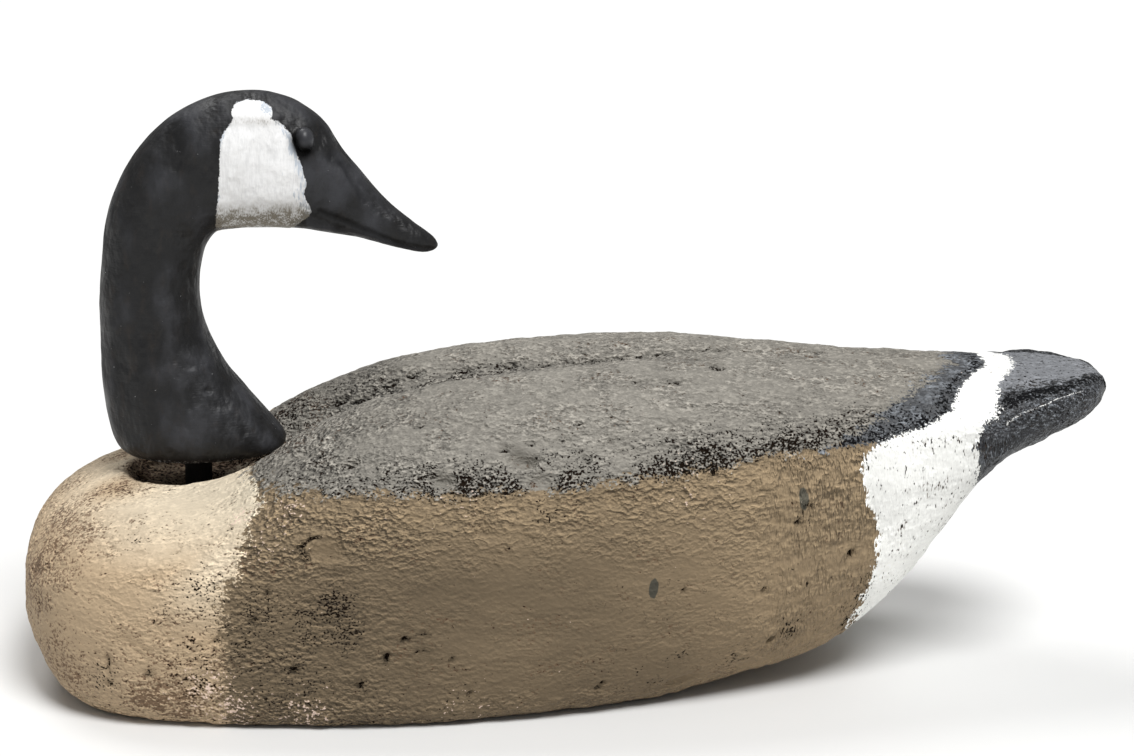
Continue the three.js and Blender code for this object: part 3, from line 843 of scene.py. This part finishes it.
    # Painted shade: darker the deeper a hole or crack sinks
    tone = node("Math", {0: read["hollow"], 1: -0.12, 2: tone}, operation="MULTIPLY_ADD")
    colour = node("VectorMath", {0: colour, "Scale": tone}, operation="SCALE")
    gloss = node("Math", {0: slate, 1: tail}, operation="MAXIMUM")
    pit = layer(node, finish.pit, [(gloss, finish.soot)])
    colour = layer(node, colour, [
        (node("Math", {0: soil, 1: 0.8}, operation="MULTIPLY"), finish.soil),
        (bare, finish.crumb),
        (node("Math", {0: crack, 1: 0.6}, operation="MULTIPLY"), pit),
        (scratch, finish.white), (black, pit),
    ])

    rough = node("MapRange", {"Value": gloss, "To Min": 0.85, "To Max": 0.5})
    shine = node("MapRange", {"Value": black, "To Min": 0.4, "To Max": 0.05})
    height = node("Math", {0: black, 1: -0.9, 2: shade}, operation="MULTIPLY_ADD")
    height = node("Math", {0: crack, 1: -0.4, 2: height}, operation="MULTIPLY_ADD")
    skin({
        "Base Color": colour, "Roughness": rough, "Specular IOR Level": shine,
        "Normal": node("Bump", {"Height": height, "Distance": finish.crumb_height}),
    })
    return material


def head_paint(finish):
    """Matt black oil paint on sanded wood: even, with a low sheen, fine brush lines and white
    specks, and a thick dab of white on each cheek."""
    material, node, skin = new_material("matt_black_paint_on_wood")
    place = node("TexCoord", out="Object")
    read = {
        name: node("Attribute", attribute_name=name, out="Fac")
        for name in (
            "cheek", "thin_white", "stain", "grit", "bloom", "thin", "scuff", "groove_shade", "eye",
        )
    }
    fine = grain(node, place, 1.1 * MM)
    patches = grain(node, place, 17 * MM, (1, 1, 1.5), 5.1)
    mottle = grain(node, place, 5 * MM, (1, 1, 2.2), 27.9)
    strokes = grain(node, place, 0.8 * MM, (1, 1, 22), 9.7)
    brushed = grain(node, place, 0.8 * MM, (12, 12, 1), 13.3)
    white = ragged(node, read["cheek"], [(strokes, 0.2), (fine, 0.2), (mottle, 0.3)], 0.25)

    bloom = flecks(node, patches, read["bloom"], 1.6, -1.6, soft=1.6)
    thin = flecks(node, mottle, read["thin"], 1.6, -0.8, soft=1.2)
    scuff = flecks(node, fine, read["scuff"], 2.4, 0.8, soft=0.15)
    # Wood through thin paint and white scuffs are wear; the highlight layers are painted highlights, on
    # the eye's dome as well
    black = layer(node, finish.black, [
        (node("Math", {0: thin, 1: 0.15}, operation="MULTIPLY"), finish.wood),
        (node("Math", {0: bloom, 1: 0.5}, operation="MULTIPLY"), finish.bloom),
        (node("Math", {0: read["eye"], 1: 0.5}, operation="MULTIPLY"), finish.bloom),
        (node("Math", {0: scuff, 1: 0.7}, operation="MULTIPLY"), finish.white),
    ])
    streaky = node("Math", {0: strokes, 1: 1.0, 2: mottle}, operation="MULTIPLY_ADD")
    thin_white = flecks(node, streaky, read["thin_white"], 3.2, -1.0, soft=0.8)
    dirty = node("MapRange", {
        "Value": streaky, "From Min": -1.8, "From Max": 1.8, "To Min": 0.2, "To Max": 1.6,
    })
    stain = node("Math", {0: dirty, 1: read["stain"]}, operation="MULTIPLY", use_clamp=True)
    grit = flecks(node, fine, read["grit"], 3.2, 0.5, soft=0.2)
    chalk = layer(node, finish.white, [
        (node("Math", {0: thin_white, 1: 0.8}, operation="MULTIPLY"), finish.blue),
        (node("Math", {0: stain, 1: 0.9}, operation="MULTIPLY"), finish.stain),
        (grit, finish.black),
    ])
    streaks = node("MapRange", {
        "Value": streaky, "From Min": -1.5, "From Max": 1.0, "To Min": 0.84, "To Max": 1.0,
    })
    chalk = node("VectorMath", {0: chalk, "Scale": streaks}, operation="SCALE")
    colour = layer(node, black, [(white, chalk)])
    # Painted shade: near black in the bill's grooves by their depth, and under the eye's dome
    colour = layer(node, colour, [
        (node("Math", {0: read["groove_shade"], 1: 0.95}, operation="MULTIPLY"), (0.002, 0.002, 0.002, 1)),
    ])
    rough = node("MapRange", {"Value": patches, "From Min": -1.0, "To Min": 0.42, "To Max": 0.6})
    rough = node("Mix", {FACTOR: read["eye"], FIRST: rough, SECOND: 0.4})
    lines = node("Mix", {FACTOR: white, FIRST: brushed, SECOND: strokes})
    fine = node("Math", {0: fine, 1: 0.3}, operation="MULTIPLY")
    height = node("Math", {0: lines, 1: 0.3, 2: fine}, operation="MULTIPLY_ADD")
    height = node("Math", {0: mottle, 1: 0.35, 2: height}, operation="MULTIPLY_ADD")
    height = node("Math", {0: patches, 1: 11.0, 2: height}, operation="MULTIPLY_ADD")
    height = node("Mix", {FACTOR: read["eye"], FIRST: height, SECOND: 0.0})
    shine = node("MapRange", {"Value": read["groove_shade"], "To Min": 0.34, "To Max": 0.05})
    skin({
        "Base Color": colour, "Roughness": rough, "Specular IOR Level": shine,
        "Normal": node("Bump", {"Height": height, "Distance": 0.06 * MM}),
    })
    return material


def dowel_stain(finish):
    """Black stain on a birch dowel: dull, with fine grain along the wood."""
    material, node, skin = new_material("black_stained_birch")
    place = node("TexCoord", out="Object")
    lines = grain(node, place, 0.7 * MM, (1, 1, 30))
    depth = node("MapRange", {"Value": lines, "From Min": -1.0, "To Min": 0.5, "To Max": 1.5})
    skin({
        "Base Color": node("VectorMath", {0: finish.black[:3], "Scale": depth}, operation="SCALE"),
        "Roughness": 0.7, "Specular IOR Level": 0.3,
        "Normal": node("Bump", {"Height": lines, "Distance": 0.1 * MM}),
    })
    return material


def floor_card(stage):
    """Pale seamless paper: plain and matt."""
    material, _, skin = new_material("pale_matt_card")
    skin({"Base Color": stage.floor, "Roughness": 0.95, "Specular IOR Level": 0.1})
    return material


class DECOY_OT_body(bpy.types.Operator):
    """Shapes and paints the cork body"""

    bl_idname = "decoy.body"
    bl_label = "Cork body"

    def execute(self, context):
        finish = context.scene.decoy_body
        body = piece_from("body", "painted_cork_body")
        even_skin(body, finish.mesh_step, 8)
        displace(body, "CLOUDS", finish.lump_size, finish.lump_height, stretch=1.4)
        displace(body, "CLOUDS", finish.dent_size, finish.dent_depth, stretch=2, noise_depth=2)
        points, normals = points_of(body)
        lines = paint_lines(points)
        maps = wear_maps(points, lines)
        weigh(body, "stippled", np.clip(maps["rough"], 0, 1))
        displace(
            body, "CLOUDS", finish.stipple_size, finish.stipple_depth, stretch=1.5,
            group="stippled", noise_depth=2,
        )
        shaped, _ = points_of(body)
        shaped, _ = scar(shaped, normals, BODY_DENTS, [])
        shaped, depth = scar(shaped, normals, BODY_HOLES, BODY_CRACKS)
        put_points(body, shaped)
        body.vertex_groups.clear()
        dab = np.full(len(points), -1.0)
        for reach, _ in ovals(points, PAINT_DABS):
            dab = np.maximum(dab, 1.1 - reach)
        keep(body, {**lines, **maps, "hollow": depth, "dab": dab})
        body.data.materials.append(cork_paint(finish))
        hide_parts("body")
        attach(body, "root")
        return {"FINISHED"}


class DECOY_OT_head(bpy.types.Operator):
    """Shapes and paints the head and neck"""

    bl_idname = "decoy.head"
    bl_label = "Head and neck"

    def execute(self, context):
        finish = context.scene.decoy_head
        head = piece_from("head_and_neck", "painted_head")
        even_skin(head, finish.mesh_step, 8)
        displace(head, "CLOUDS", 24 * MM, 1.2 * MM)
        for side in (-1, 1):
            self.set_eye(head, side)
        points, normals = points_of(head)
        points, depth = scar(points, normals, HEAD_SCARS, HEAD_CRACKS + [
            (width, sink, [(x, -y, z) for x, y, z in path]) for width, sink, path in HEAD_CRACKS
        ])
        along, across, up = points.T
        cheek = distance_to_outline(along, up, CHEEK_OUTLINE)
        raised = np.clip(cheek / 0.8, 0, 1) * finish.paint_thickness / MM
        put_points(head, points + normals * raised[:, None])
        front = soft_step(along + 166, 16) * bell(np.minimum(cheek - 1, 0) + cheek * 0.3, 1.6)
        front = np.maximum(front, 0.9 * bell(np.hypot(along + 170, up - 331), 5))
        low = (0.95 * soft_step(273 - up, 12) + 0.06) * (1 - 0.85 * bell(up - 254.6, 2.2))
        low = np.maximum(low, 0.4 * bell(up - 323, 3))
        smudge = [
            bell(np.hypot(along - x, up - z), radius)
            for x, z, radius in ((-182, 267, 7), (-198, 266, 6))
        ]
        # Painted reflection: pale light from the floor on the underside of the bill
        under = soft_step(-normals[:, 2] - 0.5, 0.4) * (along > -150)
        eye_along, _, eye_up = EYE_MIDDLE
        eye = np.hypot((along - eye_along) / EYE_SIZE[0], (up - eye_up) / EYE_SIZE[1])
        # Painted shade under the front lower edge of the eye's dome
        shadow = bell(eye - 0.8, 0.6) * soft_step(eye_along - along + eye_up - up, 7)
        keep(head, {
            "cheek": cheek, "thin_white": np.maximum(front, 0.6 * bell(cheek, 1.2)),
            "stain": np.maximum(low, np.maximum(*smudge)),
            "grit": 0.2 * low + 0.9 * bell(up - 259.5, 1.5) * (along < -170) + 0.6 * smudge[1],
            "bloom": np.maximum(spots(points, HIGHLIGHT_PLACES), 0.8 * under),
            "thin": spots(points, THIN_PLACES), "scuff": 0.8 * bell(up - 125, 3.4) + 0.06,
            "groove_shade": np.maximum(
                np.clip(depth / 2, 0, 0.6) * (cheek < 0) * (along > -145), 1.2 * shadow),
            "eye": soft_step(1 - eye, 0.12) * (np.abs(across) > 19),
        })
        head.data.materials.append(head_paint(finish))
        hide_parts("head_and_neck")
        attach(head, "root")
        return {"FINISHED"}

    @staticmethod
    def set_eye(head, side):
        """Fuses a domed eye with the head."""
        bpy.ops.object.select_all(action="DESELECT")
        along, across, up = EYE_MIDDLE
        bpy.ops.mesh.primitive_uv_sphere_add(
            segments=40, ring_count=24, radius=MM,
            location=(along * MM, side * across * MM, up * MM), scale=EYE_SIZE,
            rotation=(math.radians(90), 0, 0),
        )
        eye = bpy.context.object
        bpy.ops.object.transform_apply()
        bpy.ops.object.shade_smooth()
        lone(head)
        modify(head, "BOOLEAN", operation="UNION", object=eye, solver="FAST")
        bpy.data.objects.remove(eye)


class DECOY_OT_post(bpy.types.Operator):
    """Turns and stains the neck's dowel"""

    bl_idname = "decoy.post"
    bl_label = "Neck dowel"

    def execute(self, context):
        finish = context.scene.decoy_post
        low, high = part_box("neck_post")
        bpy.ops.object.select_all(action="DESELECT")
        bpy.ops.mesh.primitive_cylinder_add(
            vertices=finish.sides, radius=(high.x - low.x) / 2, depth=high.z - low.z,
            location=(low + high) / 2,
        )
        post = context.object
        post.name = post.data.name = "neck_dowel"
        bpy.ops.object.transform_apply(location=True)
        modify(post, "BEVEL", width=finish.chamfer, segments=2, limit_method="ANGLE")
        bpy.ops.object.shade_smooth_by_angle(angle=math.radians(40))
        post.data.materials.append(dowel_stain(finish))
        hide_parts("neck_post")
        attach(post, "root")
        return {"FINISHED"}


class DECOY_OT_stage(bpy.types.Operator):
    """Sets up the camera, the light and the floor"""

    bl_idname = "decoy.stage"
    bl_label = "Stage"

    def execute(self, context):
        stage = context.scene.decoy_stage
        context.scene.view_settings.view_transform = "Standard"
        bpy.ops.object.select_all(action="DESELECT")
        bpy.ops.mesh.primitive_circle_add(
            vertices=96, radius=stage.floor_radius, fill_type="NGON", location=(0, 0, 0),
        )
        floor = context.object
        floor.name = "studio_floor"
        floor.data.materials.append(floor_card(stage))

        target = Vector((0, 0, 0.1658))
        camera_at = Vector((-0.0576, -1.649, 0.62))
        bpy.ops.object.camera_add(
            location=camera_at, rotation=(target - camera_at).to_track_quat("-Z", "Y").to_euler(),
        )
        camera = context.object
        camera.data.lens = stage.lens
        camera.data.clip_start, camera.data.clip_end = 0.05, 60
        context.scene.camera = camera

        # Each lamp shines from where it stands to the decoy, and as evenly as a far softbox
        for name, place, strength in (
            ("key softbox", (0.45, -0.75, 1.9), 3.0), ("rear softbox", (-0.4, 0.7, 1.5), 1.0),
        ):
            bpy.ops.object.light_add(
                type="SUN", location=place,
                rotation=(target - Vector(place)).to_track_quat("-Z", "Y").to_euler(),
            )
            lamp = context.object
            lamp.name = name
            lamp.data.energy = strength
            lamp.data.angle = stage.softness

        world = bpy.data.worlds.new("white studio")
        world.use_nodes = True
        background = world.node_tree.nodes["Background"]
        background.inputs["Color"].default_value = (1, 1, 1, 1)
        background.inputs["Strength"].default_value = stage.sky
        context.scene.world = world
        return {"FINISHED"}


class DECOY_PT_panel(bpy.types.Panel):
    """Lists the decoy's pieces and their settings"""

    bl_label = "Goose decoy"
    bl_idname = "DECOY_PT_panel"
    bl_space_type = "VIEW_3D"
    bl_region_type = "UI"
    bl_category = "Decoy"

    def draw(self, context):
        for settings, operator in SECTIONS:
            box = self.layout.box()
            box.operator(operator)
            group = getattr(context.scene, settings)
            for name in group.bl_rna.properties.keys()[2:]:
                box.prop(group, name)


SECTIONS = [
    ("decoy_stage", "decoy.stage"), ("decoy_body", "decoy.body"),
    ("decoy_head", "decoy.head"), ("decoy_post", "decoy.post"),
]
GROUPS = {
    "decoy_stage": DecoyStage, "decoy_body": DecoyBodyFinish,
    "decoy_head": DecoyHeadFinish, "decoy_post": DecoyPostFinish,
}
CLASSES = [
    *GROUPS.values(), DECOY_OT_stage, DECOY_OT_body, DECOY_OT_head, DECOY_OT_post, DECOY_PT_panel,
]


def register():
    for cls in CLASSES:
        bpy.utils.register_class(cls)
    for name, group in GROUPS.items():
        setattr(bpy.types.Scene, name, bpy.props.PointerProperty(type=group))


def unregister():
    for name in GROUPS:
        delattr(bpy.types.Scene, name)
    for cls in reversed(CLASSES):
        bpy.utils.unregister_class(cls)


def main():
    register()
    bpy.ops.decoy.stage()
    bpy.ops.decoy.body()
    bpy.ops.decoy.head()
    bpy.ops.decoy.post()


if __name__ == "__main__":
    main()
